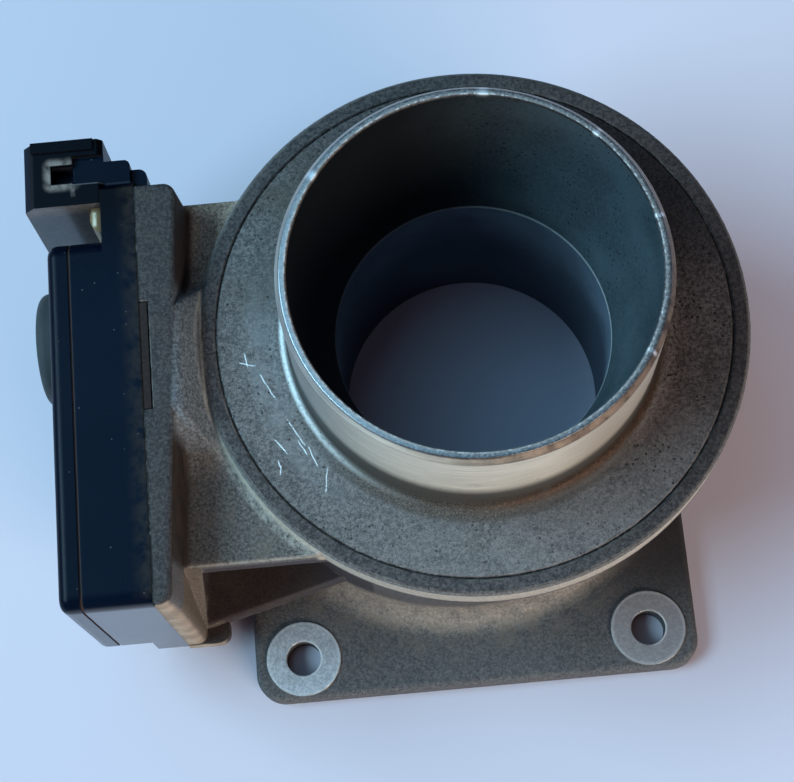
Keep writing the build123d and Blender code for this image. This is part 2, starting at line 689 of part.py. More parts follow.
with BuildPart() as control_ic:
    chip(on_board(0.24, 0.67), IC_W, IC_L, IC_H)
    chamfer(control_ic.faces().sort_by(Axis.X)[0].edges(), length=IC_H / 5)
control_ic.part.label = "control_ic"
export_step(control_ic.part, "parts/control_ic.step")

with BuildPart() as transistor:
    transistor_y, transistor_z = on_board(0.18, 0.25)
    chip((transistor_y, transistor_z), TRANSISTOR_W, TRANSISTOR_L, TRANSISTOR_H)
    chip(
        (transistor_y, transistor_z + (TRANSISTOR_L + TRANSISTOR_TAB) / 2),
        TRANSISTOR_W * 0.8,
        TRANSISTOR_TAB,
        TRANSISTOR_H * 0.4,
    )
transistor.part.label = "power_transistor"
export_step(transistor.part, "parts/power_transistor.step")

with BuildPart() as capacitors:
    for share_y, share_z in ((0.44, 0.88), (0.44, 0.72), (0.54, 0.88), (0.63, 0.88)):
        chip(on_board(share_y, share_z), CHIP_L, CAPACITOR_W, CAPACITOR_H)
capacitors.part.label = "chip_capacitors"
export_step(capacitors.part, "parts/chip_capacitors.step")

with BuildPart() as resistors:
    for share_y, share_z in ((0.35, 0.14), (0.35, 0.26), (0.35, 0.38), (0.69, 0.72), (0.58, 0.72), (0.06, 0.66)):
        chip(on_board(share_y, share_z), CHIP_L, RESISTOR_W, RESISTOR_H)
resistors.part.label = "chip_resistors"
export_step(resistors.part, "parts/chip_resistors.step")

with BuildPart() as trimmer:
    block((board_x - 3.2, board_x), (PLUG_Y - 3.8, PLUG_Y + 3.8), (PLUG_Z - 1.2, PLUG_Z + 6.4))
trimmer.part.label = "trim_potentiometer"
export_step(trimmer.part, "parts/trim_potentiometer.step")

with BuildPart() as rotor:
    rod_x(board_x - 4.2, board_x - 3.2, PLUG_Y, PLUG_Z + 2.6, 2.5)
    block(
        (board_x - 5, board_x - 3.7),
        (PLUG_Y - 3, PLUG_Y + 3),
        (PLUG_Z + 2.2, PLUG_Z + 3.0),
        mode=Mode.SUBTRACT,
    )
rotor.part.label = "trim_rotor"
export_step(rotor.part, "parts/trim_rotor.step")

# lead strips lying on the board, from its terminals and from the probe's pins
with BuildPart() as leads:
    for z in terminal_z:
        block((board_x - STRIP_T, board_x), (circuit_y[1] - 1.8, tray_y[1] - 2.2), (z - 0.3, z + 0.3))
    for y, z in pin_yz:
        side = 1 if y > SENSOR_Y else -1
        block(
            (board_x - STRIP_T, board_x),
            (y + side * PIN_R, SENSOR_Y + side * (window_r + 2.0)),
            (z - 0.35, z + 0.35),
        )
leads.part.label = "lead_strips"
export_step(leads.part, "parts/lead_strips.step")

# ================================================================================================
# screws that hold the housing's floor on the pad
# ================================================================================================
with BuildPart() as screws:
    for y, z in screw_yz:
        rod_x(FLOOR_X - SCREW_HEAD_H, FLOOR_X, y, z, SCREW_HEAD_R)
        rod_x(FLOOR_X, PAD_X + SCREW_BITE, y, z, SCREW_R)
        for half_y, half_z in ((1.5, 0.35), (0.35, 1.5)):
            block(
                (FLOOR_X - SCREW_HEAD_H - 1, FLOOR_X - SCREW_HEAD_H + 1.0),
                (y - half_y, y + half_y),
                (z - half_z, z + half_z),
                mode=Mode.SUBTRACT,
            )
screws.part.label = "module_screws"
export_step(screws.part, "parts/module_screws.step")

# ================================================================================================
# gel that fills the tray over the circuit
# ================================================================================================
with BuildPart() as gel:
    block((gel_x, FLOOR_X), tray_y, tray_z)
    for piece in (
        base_plate, board, control_ic, transistor, capacitors, resistors, trimmer,
        leads, terminals, pins, holder, screws,
    ):
        add(piece.part, mode=Mode.SUBTRACT)
gel.part.label = "silicone_gel"
export_step(gel.part, "parts/silicone_gel.step")
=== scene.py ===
import math

import bmesh
import bpy
from mathutils import Matrix, Vector

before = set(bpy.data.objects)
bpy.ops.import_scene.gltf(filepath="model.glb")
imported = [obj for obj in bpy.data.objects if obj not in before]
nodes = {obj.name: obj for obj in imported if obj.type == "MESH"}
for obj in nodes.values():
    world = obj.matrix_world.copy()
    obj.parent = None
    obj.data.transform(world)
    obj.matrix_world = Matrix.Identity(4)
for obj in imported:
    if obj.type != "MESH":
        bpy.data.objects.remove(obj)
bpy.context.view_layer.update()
MM = 0.001

# Sizes of the sensor, millimetres, the same as the solid model's
BORE_R = 26.5
THROAT_Z = 43.0
SPIGOT_R = 35.0
SPIGOT_TOP = 80.4
COVER_R = 48.75
RIM_WALL = 3.35
RIM_LOW = 43.2
RIM_TOP = 50.7
NECK_X = -4.4
NECK_R = 46.6
FLANGE_X = (-49.6, 40.8)
FLANGE_Y = (-61.6, 50.0)
FLANGE_T = 4.6
BOLT_EDGE_X = 9.9
BOLT_EDGE_Y = 8.3
BOLT_HOLE_R = 3.5
BOLT_RING_R = 7.6
WEB_TOP = 47.4
WEB_FRONT = -41.5
SENSOR_Y = -3.5
CROWN_HALF = 14.2
CROWN_END = -46.6
PAD_X = -62.0
PAD_Y = (-49.7, 31.2)
PAD_TOP = 58.0
PAD_THIN = 3.9
PAD_THICK = 8.8
TAB_Y = (-13.2, 7.6)
BOX_END = 21.2
BACK_Y = 32.6
CONN_X = -67.6
CONN_Y = 28.3
LATCH_X = (-77.5, -73.5)
LATCH_Y = (32.9, 36.6)

# Worked out from them; the pad's flank leans by its taper and crosses y = 0 at PAD_SIDE
RIM_R = COVER_R + RIM_WALL
BOLT_X = (FLANGE_X[0] + BOLT_EDGE_X, FLANGE_X[1] - BOLT_EDGE_X)
BOLT_Y = (FLANGE_Y[0] + BOLT_EDGE_Y, FLANGE_Y[1] - BOLT_EDGE_Y)
CROWN_Y = (SENSOR_Y - CROWN_HALF, SENSOR_Y + CROWN_HALF)
PAD_TAPER = (PAD_THICK - PAD_THIN) / (PAD_Y[1] - PAD_Y[0])
PAD_SIDE = PAD_X + PAD_THIN - PAD_TAPER * PAD_Y[0]

# Places of the finish, millimetres
MOUTH_R = 33.2
WEB_END = -28.0
POCKET_X = (-58.6, -24.0)
POCKET_Z = (12.0, 44.6)
# the flange's front right corner, painted with shade and dark dirt
SHADE_CORNER_X = (4.0, 36.0)
SHADE_CORNER_Y = (-60.0, -38.0)
BEAD_X = (-71.4, -67.45)
BEAD_Y = (22.4, 28.35)
BEAD_Z = (30.0, 55.9)

# Tones that more than one finish shares
JOINT_TONE = (0.008, 0.007, 0.007)

# Scratches on the ring: start and end, millimetres
SCRATCHES = (
    ((-40.9, -6.4), (-38.2, -11.5)),
    ((-36.4, -15.7), (-33.4, -20.8)),
    ((-32.8, -21.2), (-31.4, -25.0)),
    ((-29.7, -25.6), (-30.2, -30.1)),
    ((-38.6, -23.4), (-38.2, -24.6)),
    ((-38.1, -24.4), (-38.3, -26.0)),
    ((-34.7, -19.9), (-33.2, -22.6)),
    ((-38.9, -19.3), (-36.8, -22.1)),
    ((-44.5, -3.7), (-41.7, -4.6)),
    ((-43.6, -1.9), (-43.1, -4.6)),
)
SCRATCH_W = 0.19
# Nicks in the spigot's lip: direction and half width, radians
NICKS = ((0.77, 0.03), (1.43, 0.05), (-0.56, 0.018), (2.5, 0.04), (0.2, 0.02))


# ---------------------------------------------------------------------------------- shader maths
class Wire:
    """One socket of a material's node tree; Python operators on it add Math nodes."""

    def __init__(self, tree, socket):
        self.tree = tree
        self.socket = socket

    def math(self, operation, *others, clamp=False):
        settings = {"operation": operation, "use_clamp": clamp}
        return self.tree.node("ShaderNodeMath", settings, [self, *others])

    def __add__(self, other):
        return self.math("ADD", other)

    __radd__ = __add__

    def __sub__(self, other):
        return self.math("SUBTRACT", other)

    def __rsub__(self, other):
        return self.tree.node("ShaderNodeMath", {"operation": "SUBTRACT"}, [other, self])

    def __mul__(self, other):
        return self.math("MULTIPLY", other)

    __rmul__ = __mul__

    def __truediv__(self, other):
        return self.math("DIVIDE", other)

    def clamp(self):
        return self.math("ADD", 0.0, clamp=True)

    def band(self, low, high):
        """0 below low, 1 above high, smooth between; a falling band has low above high."""
        rising = low < high
        ends = (low, high) if rising else (high, low)
        out = self.tree.node(
            "ShaderNodeMapRange",
            {"interpolation_type": "SMOOTHSTEP"},
            {"Value": self, "From Min": ends[0], "From Max": ends[1]},
        )
        return out if rising else 1 - out

    def between(self, low, high, soft=0.3):
        """1 from low to high, with soft ends."""
        return self.band(low - soft, low + soft) * self.band(high + soft, high - soft)

    def peak(self, centre, half):
        """1 at centre, falling smoothly to 0 at half a width away."""
        return (self - centre).math("ABSOLUTE").band(half, 0.0)

    def beyond(self, low, high):
        """How far a value lies outside the span from low to high, 0 inside it."""
        middle = (low + high) / 2
        return ((self - middle).math("ABSOLUTE") - (high - low) / 2).math("MAXIMUM", 0.0)


class Finish:
    """A material under construction, with places on the part ready to use.

    x, y, z and r, the distance from the bore's axis, are in millimetres, angle is in radians.
    """

    def __init__(self, name):
        self.material = bpy.data.materials.new(name)
        self.material.use_nodes = True
        self.nodes = self.material.node_tree.nodes
        self.links = self.material.node_tree.links
        self.shader = self.nodes["Principled BSDF"]
        self.colour = None
        coords = self.node("ShaderNodeTexCoord", {}, {}, out="Object")
        self.place = self.scaled(coords, (1 / MM, 1 / MM, 1 / MM))
        self.x = self.node("ShaderNodeSeparateXYZ", {}, [self.place], out="X")
        split = self.x.socket.node
        self.y = Wire(self, split.outputs["Y"])
        self.z = Wire(self, split.outputs["Z"])
        self.r = self.away_from(0.0, 0.0)
        self.angle = self.node("ShaderNodeMath", {"operation": "ARCTAN2"}, [self.y, self.x])

    def node(self, kind, settings, inputs, out=0):
        """Any node: its type, its settings, its sockets' values or links, and the output taken."""
        made = self.nodes.new(kind)
        for key, value in settings.items():
            setattr(made, key, value)
        pairs = inputs.items() if isinstance(inputs, dict) else enumerate(inputs)
        for key, value in pairs:
            self.plug(made.inputs[key], value)
        return Wire(self, made.outputs[out])

    def plug(self, socket, value):
        if isinstance(value, Wire):
            self.links.new(value.socket, socket)
        elif isinstance(value, tuple) and socket.type == "RGBA":
            socket.default_value = (*value, 1.0)
        else:
            socket.default_value = value

    def scaled(self, vector, factors):
        return self.node("ShaderNodeVectorMath", {"operation": "MULTIPLY"}, [vector, factors])

    def noise(self, size, detail, rough, squash=(1.0, 1.0, 1.0)):
        """Noise with features about `size` millimetres across, about 0 to 1."""
        place = self.scaled(self.place, tuple(share / size for share in squash))
        inputs = {"Vector": place, "Scale": 1.0, "Detail": detail, "Roughness": rough}
        return self.node("ShaderNodeTexNoise", {}, inputs, out="Fac")

    def cells(self, size):
        """Distance to scattered points about `size` millimetres apart, in sizes."""
        place = self.scaled(self.place, (1 / size,) * 3)
        return self.node("ShaderNodeTexVoronoi", {}, {"Vector": place, "Scale": 1.0}, out="Distance")

    def mix(self, factor, a, b):
        """Colour a where the factor is 0 and b where it is 1."""
        return self.node("ShaderNodeMix", {"data_type": "RGBA"}, {0: factor, 6: a, 7: b}, out=2)

    def paint(self, mask, tone):
        """Lays a tone over the colour so far, where the mask is 1."""
        self.colour = self.mix(mask, self.colour, tone)

    def away_from(self, x, y):
        """Distance from an upright axis, millimetres."""
        across = self.x - x
        along = self.y - y
        return (across * across + along * along).math("SQRT")

    def toward(self, degrees, half):
        """1 where a place lies in one direction from the bore's axis, 0 beyond half degrees."""
        turn = math.radians(degrees)
        share = (self.x * math.cos(turn) + self.y * math.sin(turn)) / self.r
        return share.band(math.cos(math.radians(half)), math.cos(math.radians(half * 0.25)))

    def stroke(self, start, end, width):
        """1 on a scratch seen from above, from start to end, with a slight wander."""
        (ax, ay), (bx, by) = start, end
        length = math.hypot(bx - ax, by - ay)
        ux, uy = (bx - ax) / length, (by - ay) / length
        along = (self.x - ax) * ux + (self.y - ay) * uy
        across = (self.x - ax) * -uy + (self.y - ay) * ux
        wander = self.noise(1.6, 2, 0.5) * 0.5 - 0.25
        return along.between(0, length, 0.4) * (across + wander).peak(0, width)

    def facing(self, axis):
        """Part of the surface's own direction along one axis of the part, -1 to 1."""
        normal = self.node("ShaderNodeTexCoord", {}, {}, out="Normal")
        return self.node("ShaderNodeSeparateXYZ", {}, [normal], out=axis)

    def upright(self):
        """1 on walls, 0 on faces that look up or down."""
        return self.facing("Z").math("ABSOLUTE").band(0.8, 0.35)

    def rounded(self, radius):
        """Normal with every edge softened over a radius in millimetres."""
        return self.node("ShaderNodeBevel", {"samples": 4}, {"Radius": radius * MM})

    def edges(self, radius):
        """1 on edges and corners within a radius in millimetres, 0 on open faces."""
        true = self.node("ShaderNodeNewGeometry", {}, {}, out="Normal")
        settings = {"operation": "DOT_PRODUCT"}
        alike = self.node("ShaderNodeVectorMath", settings, [self.rounded(radius), true], out="Value")
        return alike.band(0.995, 0.86)

    def bump(self, height, strength, distance, normal=None):
        inputs = {"Height": height, "Strength": strength, "Distance": distance * MM}
        if normal is not None:
            inputs["Normal"] = normal
        return self.node("ShaderNodeBump", {}, inputs)

    def done(self, **sockets):
        """Plugs the colour and the named sockets of the shader, and gives the material."""
        self.plug(self.shader.inputs["Base Color"], self.colour)
        for key, value in sockets.items():
            self.plug(self.shader.inputs[key.replace("_", " ")], value)
        return self.material


class Metal(Finish):
    """A finish with the clouding, grain and specks that both aluminium pieces share."""

    def __init__(self, name, cloud, patch, speck):
        super().__init__(name)
        self.cloud = self.noise(cloud, 3, 0.5)
        self.patch = self.noise(patch, 4, 0.62)
        self.grain = self.noise(0.6, 5, 0.85)
        self.speck = self.noise(speck, 2, 0.6)
        self.fine = self.grain.band(0.4, 0.62)

    def grained(self, low, high):
        """A tone that the fine grain takes from low to high."""
        return self.mix(self.fine, low, high)

    def broken_line(self):
        """1 along most of a joint, 0 in its gaps."""
        return self.noise(1.6, 3, 0.6).band(0.4, 0.5)


# ------------------------------------------------------------------------------ casting's finish
def paint_pad_and_webs(f, past_pad):
    """Dark pad top, painted light on the crown and the back web, and a film of dust on the webs; gives
    where the webs are.
    """
    pad_top = f.x.band(CROWN_END + 2.6, CROWN_END + 0.6) * f.z.band(PAD_TOP - 1.6, PAD_TOP - 0.8)
    pad_tone = f.grained((0.013, 0.012, 0.0135), (0.062, 0.056, 0.057))
    pad_tone = f.mix(f.patch.band(0.5, 0.72) * 0.3, pad_tone, (0.062, 0.05, 0.04))
    f.paint(pad_top * 0.92, pad_tone)

    crown = past_pad.band(-1.5, 0.0) * f.x.band(CROWN_END + 0.1, CROWN_END - 1.4)
    crown = crown * f.y.between(CROWN_Y[0] - 0.8, CROWN_Y[1] + 0.8, 3.0)
    crown = crown * f.z.band(WEB_TOP - 0.2, WEB_TOP + 1.0) * f.r.band(RIM_R - 0.1, RIM_R + 0.5)
    # painted light: the crown, turned away from the window, is painted paler and bluer to lift it out
    # of its shade
    f.paint(crown * 0.85, f.grained((0.055, 0.068, 0.082), (0.23, 0.268, 0.295)))

    web = f.x.between(PAD_X + 1.0, WEB_END, 1.0) * f.z.between(WEB_TOP - 0.8, WEB_TOP + 2.0, 0.4)
    web = web * f.r.band(RIM_R - 0.2, RIM_R + 0.4) * (1 - f.upright())
    web_tone_and_light = f.grained((0.035, 0.033, 0.032), (0.155, 0.145, 0.135))
    web_tone_and_light = f.mix(f.patch.band(0.48, 0.7) * 0.45, web_tone_and_light, (0.125, 0.105, 0.08))
    # painted light: the back web, in the pad's shadow, is painted a paler warm tone
    back_web_painted_light = f.grained((0.15, 0.115, 0.085), (0.46, 0.38, 0.29))
    web_tone_and_light = f.mix(f.y.band(CROWN_Y[1] - 0.7, CROWN_Y[1] + 7.3) * 0.8, web_tone_and_light, back_web_painted_light)
    f.paint(web * (1 - crown) * 0.9, web_tone_and_light)

    # dust gathers where the webs and the crown meet the rim, and along the front web's edge
    corner = f.z.between(WEB_TOP - 0.4, RIM_TOP + 1.3) * f.x.band(WEB_END, WEB_END - 4.0)
    corner = corner * f.r.between(RIM_R + 0.2, RIM_R + 1.9, 0.5)
    corner = corner * f.y.band(CROWN_Y[0] + 1.7, CROWN_Y[0] - 1.3)
    corner = corner * f.noise(1.1, 4, 0.75).band(0.36, 0.6)
    crown_foot = crown * f.r.peak(RIM_R + 0.4, 0.5) * f.patch.band(0.3, 0.6)
    f.paint(corner * 0.55 + crown_foot * 0.5, (0.36, 0.35, 0.31))
    web_edge = web * f.y.peak(WEB_FRONT + 0.3, 0.55) * f.noise(2.0, 4, 0.6).band(0.28, 0.5)
    f.paint(web_edge * 0.7, (0.34, 0.32, 0.27))
    return web


def paint_foot(f, neck_r):
    """Pale dust round the neck's foot and on the flange near it, and painted shade with dark dirt in
    the flange's front right corner.
    """
    foot = neck_r.band(NECK_R + 6.4, NECK_R + 2.9) * f.z.band(FLANGE_T + 7.9, FLANGE_T + 3.9)
    foot = foot * f.z.band(FLANGE_T - 0.4, FLANGE_T + 0.2)
    foot_tone = f.mix(f.grain.band(0.3, 0.7), (0.14, 0.12, 0.1), (0.34, 0.315, 0.28))
    f.paint(foot * (f.patch.band(0.25, 0.6) * 0.7 + 0.25), foot_tone)
    near_foot = neck_r.band(NECK_R + 11.4, NECK_R + 4.4)
    near_foot = near_foot * f.z.between(FLANGE_T - 0.4, FLANGE_T + 0.6)
    f.paint(near_foot * f.patch.band(0.4, 0.66) * 0.5, (0.16, 0.135, 0.11))
    # painted shade: the flange's front right corner, in the rim's shade, is painted dark, with dark
    # dirt
    shade_and_dirt_corner = f.x.band(*SHADE_CORNER_X) * f.y.band(*SHADE_CORNER_Y)
    shade_and_dirt_corner = shade_and_dirt_corner * f.z.between(FLANGE_T - 1.6, FLANGE_T + 0.6)
    f.paint(shade_and_dirt_corner * 0.8, (0.02, 0.018, 0.02))


def paint_grime(f, past_pad, web):
    """Brown dirt and painted shade on the pad's flank, in the webs' groove and in the pockets; gives
    the flank.
    """
    front_end = f.y.band(CROWN_Y[0] + 1.7, CROWN_Y[0] - 2.3)
    front_end = front_end * f.y.band(WEB_FRONT - 1.0, WEB_FRONT + 1.0)
    back_end = f.y.band(CROWN_Y[1] - 1.7, CROWN_Y[1] + 2.3)
    back_end = back_end * f.y.band(PAD_Y[1] - 0.2, PAD_Y[1] - 3.2)
    ends = (front_end + back_end).clamp()
    # the flank, turned away from the window, and the groove at its foot are painted dark: brown dirt
    # and painted shade
    flank = past_pad.between(-1.3, 0.5) * f.z.between(WEB_TOP - 0.2, PAD_TOP - 0.6)
    grime_and_shade = f.mix(f.patch.band(0.3, 0.7), (0.009, 0.005, 0.004), (0.03, 0.018, 0.012))
    f.paint(flank * ends * 0.97, grime_and_shade)
    groove = web * past_pad.band(1.6, 0.4) * ends
    f.paint(groove * 0.85, f.mix(f.grain, (0.01, 0.006, 0.005), (0.05, 0.032, 0.024)))

    # the pockets under the upper webs are painted dark: brown dirt and painted shade from the plates
    # above
    pocket = f.x.between(*POCKET_X) * f.z.between(*POCKET_Z, 1.6)
    pocket = pocket * f.y.band(WEB_FRONT + 5.5, WEB_FRONT - 1.0)
    inner = f.x.band(POCKET_X[1], POCKET_X[1] - 10.0) * f.r.band(NECK_R + 0.4, NECK_R + 2.9)
    inner = inner * f.z.between(POCKET_Z[0] - 0.5, POCKET_Z[1] + 1.4, 1.0)
    toward_neck = f.x.band(POCKET_X[1] - 22.0, POCKET_X[1] - 8.0)
    pocket_grime_and_shade = f.mix(toward_neck, (0.022, 0.011, 0.01), (0.032, 0.034, 0.046))
    pocket_grime_and_shade = f.mix(f.patch.band(0.4, 0.7) * 0.5, pocket_grime_and_shade, (0.05, 0.035, 0.028))
    pocket_grime_and_shade = f.mix(f.fine * 0.35, pocket_grime_and_shade, (0.075, 0.065, 0.06))
    f.paint((pocket + inner).clamp() * 0.93, pocket_grime_and_shade)
    return flank


def paint_cheeks(f):
    """Dusty upright faces at the front of the pocket and of the pad; gives the pad's."""
    cheek = f.upright() * f.y.band(WEB_FRONT + 0.9, WEB_FRONT - 0.1)
    cheek = cheek * f.x.band(PAD_SIDE + 1.29, PAD_SIDE - 0.11)
    cheek = cheek * f.z.between(POCKET_Z[0] + 2.0, WEB_TOP, 0.6)
    f.paint(cheek, f.mix(f.grain.band(0.3, 0.7), (0.065, 0.045, 0.03), (0.165, 0.13, 0.095)))
    pad_end = f.upright() * f.y.band(PAD_Y[0] + 1.1, PAD_Y[0] + 0.3)
    pad_end = pad_end * f.x.band(PAD_SIDE + 1.09, PAD_SIDE + 0.09)
    f.paint(pad_end, f.mix(f.patch.band(0.35, 0.7), (0.25, 0.2, 0.145), (0.39, 0.325, 0.245)))
    return pad_end


def paint_rim(f, neck_r, kept_clear):
    """Grained rim top darker on the right in painted shade, a side pale with dust and painted warm
    light, painted shade on the neck under it, and the casting's worn arrises, which it gives.
    """
    top = f.z.between(RIM_TOP - 0.25, RIM_TOP + 0.25, 0.12)
    top = top * f.r.between(COVER_R + 0.25, RIM_R + 0.1, 0.1)
    tone = f.grained((0.015, 0.014, 0.016), (0.092, 0.083, 0.083))
    # painted shade: the rim top is painted darker towards the right, where the spigot's shade falls
    shaded_right_tone = f.grained((0.012, 0.01, 0.011), (0.055, 0.047, 0.045))
    f.paint(top * 0.9, f.mix(f.toward(25, 100) * 0.55, tone, shaded_right_tone))

    side = f.upright() * f.r.band(RIM_R - 0.8, RIM_R - 0.2) * f.r.band(RIM_R + 1.1, RIM_R + 0.5)
    side = side * f.z.between(RIM_LOW - 0.3, RIM_TOP + 0.2, 0.4)
    # the upright side is painted pale with dust and painted warm light from the front, and darker
    # towards its bottom
    pale = f.mix(f.grain.band(0.3, 0.75), (0.28, 0.25, 0.2), (0.58, 0.54, 0.45))
    pale = f.mix(f.z.band(RIM_LOW + 2.4, RIM_LOW + 1.0), pale, (0.05, 0.043, 0.036))
    f.paint(side * 0.9, pale)

    # painted shade on the neck just under the rim
    below = neck_r.band(NECK_R + 2.9, NECK_R + 0.9) * f.x.band(POCKET_X[1], POCKET_X[1] + 8.0)
    below = below * f.z.between(RIM_LOW - 17.2, RIM_LOW - 0.3, 3.0)
    f.paint(below * 0.5, (0.024, 0.02, 0.018))

    worn = f.edges(0.45) * f.noise(2.6, 4, 0.65).band(0.4, 0.62)
    worn = worn * (1 - f.toward(25, 95) * top) * kept_clear * f.z.band(0.2, 0.8)
    f.paint(worn * 0.6, (0.37, 0.35, 0.3))
    return worn


def paint_joints(f):
    """Dark joints round the cover and along the electronics box."""
    seam = f.r.band(COVER_R + 0.3, COVER_R + 0.15) * f.z.band(RIM_TOP - 1.1, RIM_TOP - 0.4)
    f.paint(seam * f.broken_line() * 0.85, JOINT_TONE)
    joint = f.x.between(PAD_X - 0.3, PAD_X + 0.28, 0.08) * f.z.band(PAD_TOP - 2.0, PAD_TOP - 0.5)
    f.paint(joint * f.noise(1.8, 3, 0.6).band(0.3, 0.5), (0.004, 0.004, 0.004))


def paint_machined(f):
    """Bare metal on the rings round the bolt holes and in the bore, with painted highlights and
    painted shade; gives both.
    """
    ring = 0.0
    arrises = 0.0
    for bolt_x in BOLT_X:
        for bolt_y in BOLT_Y:
            away = f.away_from(bolt_x, bolt_y)
            # the holes' edges are painted pale only on the side facing the window: bare metal with a
            # painted highlight
            lit_hole_edge = away.peak(BOLT_HOLE_R + 0.1, 0.4) * f.x.band(bolt_x - 1.0, bolt_x + 3.0)
            ring_edge = away.peak(BOLT_RING_R - 0.3, 0.45)
            ring = away.band(BOLT_RING_R + 0.15, BOLT_RING_R - 0.1) + ring
            arrises = lit_hole_edge + ring_edge * 0.35 + arrises
    ring = ring * f.z.between(FLANGE_T + 0.15, FLANGE_T + 0.9, 0.12)
    tone = f.grained((0.33, 0.35, 0.38), (0.56, 0.58, 0.6))
    tone = f.mix(f.patch.band(0.5, 0.72) * 0.35, tone, (0.2, 0.19, 0.18))
    # painted shade: the rings on the right, in the rim's shade, are painted darker
    tone = f.mix(f.x.band(0.0, BOLT_X[1] - 0.9) * 0.6, tone, (0.24, 0.215, 0.215))
    f.paint(ring, f.mix((arrises * 0.8).clamp(), tone, (0.75, 0.76, 0.76)))

    bore = f.r.band(BORE_R + 0.6, BORE_R + 0.3)
    bore_tone_and_shade = f.mix(f.cloud.band(0.3, 0.7), (0.11, 0.15, 0.2), (0.165, 0.22, 0.29))
    # painted shade: the bore is painted darker deeper down and on its lower left
    bore_tone_and_shade = f.mix(f.z.band(THROAT_Z - 9.0, THROAT_Z - 19.0) * 0.55, bore_tone_and_shade, (0.04, 0.06, 0.09))
    shaded_low_left = f.x.band(-2.0, -18.0) * f.z.band(THROAT_Z - 13.0, THROAT_Z - 33.0)
    bore_tone_and_shade = f.mix(shaded_low_left * 0.7, bore_tone_and_shade, (0.012, 0.035, 0.075))
    f.paint(bore, f.mix(f.patch.band(0.5, 0.75) * 0.35, bore_tone_and_shade, (0.05, 0.07, 0.095)))
    return (ring + bore).clamp()


def cast_skin():
    """Grey-brown casting, finely pitted, with dust, dirt, worn arrises, machined faces, and painted
    light and shade in places.
    """
    f = Metal("cast_skin", 15, 4.5, 0.34)
    f.colour = f.mix(f.cloud.band(0.3, 0.7), (0.05, 0.052, 0.058), (0.068, 0.068, 0.073))
    f.paint(f.patch.band(0.45, 0.7) * 0.35, (0.1, 0.088, 0.076))
    f.paint(f.fine * 0.7, (0.165, 0.163, 0.163))
    f.paint(f.speck.band(0.46, 0.32) * 0.6, (0.02, 0.02, 0.022))

    past_pad = f.x - f.y * PAD_TAPER - PAD_SIDE
    neck_r = f.away_from(NECK_X, 0.0)
    web = paint_pad_and_webs(f, past_pad)
    paint_foot(f, neck_r)
    flank = paint_grime(f, past_pad, web)
    pad_end = paint_cheeks(f)
    worn = paint_rim(f, neck_r, (1 - flank) * (1 - pad_end))
    paint_joints(f)
    smooth = paint_machined(f)

    pits = f.noise(0.5, 2, 0.5).band(0.38, 0.28)
    height = (f.patch * 0.2 + f.grain * 0.5 - pits * 0.5) * (1 - pad_end * 0.8)
    # the cast corners by the pad are rounder than the rest
    by_pad = f.x.band(CROWN_END + 0.6, CROWN_END - 2.4)
    by_pad = by_pad * f.z.band(POCKET_Z[0] + 1.0, POCKET_Z[0] + 4.0)
    corners = {0: by_pad, 4: f.rounded(0.35), 5: f.rounded(1.6)}
    corner_normal = f.node("ShaderNodeMix", {"data_type": "VECTOR"}, corners, out=1)
    return f.done(
        Roughness=0.66 + f.grain * 0.16 - smooth * 0.26 - worn * 0.15,
        Metallic=(0.1 + smooth * 0.35 + worn * 0.3).clamp(),
        Normal=f.bump(height, 0.55, 0.13, corner_normal),
        Specular_IOR_Level=0.35,
    )


# ------------------------------------------------------------------------------- cover's finish
def paint_ring_top(f, pores):
    """Top of the ring: pale towards the left and the front, brown-black on the right."""
    paleness = (f.x * -0.75 + f.y * -0.8 + f.cloud * 16 - 8).band(-34.0, 18.0)
    dark = f.grained((0.034, 0.028, 0.03), (0.155, 0.14, 0.138))
    darkest = f.grained((0.002, 0.0015, 0.002), (0.014, 0.0115, 0.013))
    dark = f.mix(f.toward(52, 55) * 0.95, dark, darkest)
    pale = f.grained((0.062, 0.062, 0.064), (0.2, 0.19, 0.185))
    pale = f.mix(f.patch.band(0.5, 0.72) * 0.4, pale, (0.07, 0.068, 0.066))
    f.colour = f.mix(paleness, dark, pale)
    f.paint(f.toward(-75, 60) * f.patch.band(0.3, 0.6) * 0.4, (0.24, 0.225, 0.225))
    f.paint(f.toward(148, 32) * f.cloud.band(0.35, 0.6) * 0.45, (0.07, 0.06, 0.04))
    f.paint(f.cloud.band(0.52, 0.66) * f.patch.band(0.4, 0.6) * 0.35, (0.03, 0.029, 0.03))
    f.paint(f.toward(95, 45) * 0.4, (0.04, 0.042, 0.045))
    f.paint(f.speck.band(0.46, 0.32) * 0.55, (0.022, 0.021, 0.022))
    scuffed = f.r.between(SPIGOT_R + 3.0, SPIGOT_R + 8.5, 1.5) * f.toward(-165, 42)
    f.paint(scuffed * f.patch.band(0.3, 0.6) * 0.35, (0.27, 0.29, 0.3))
    f.paint(pores * (1 - paleness * 0.3), (0.004, 0.0035, 0.0035))


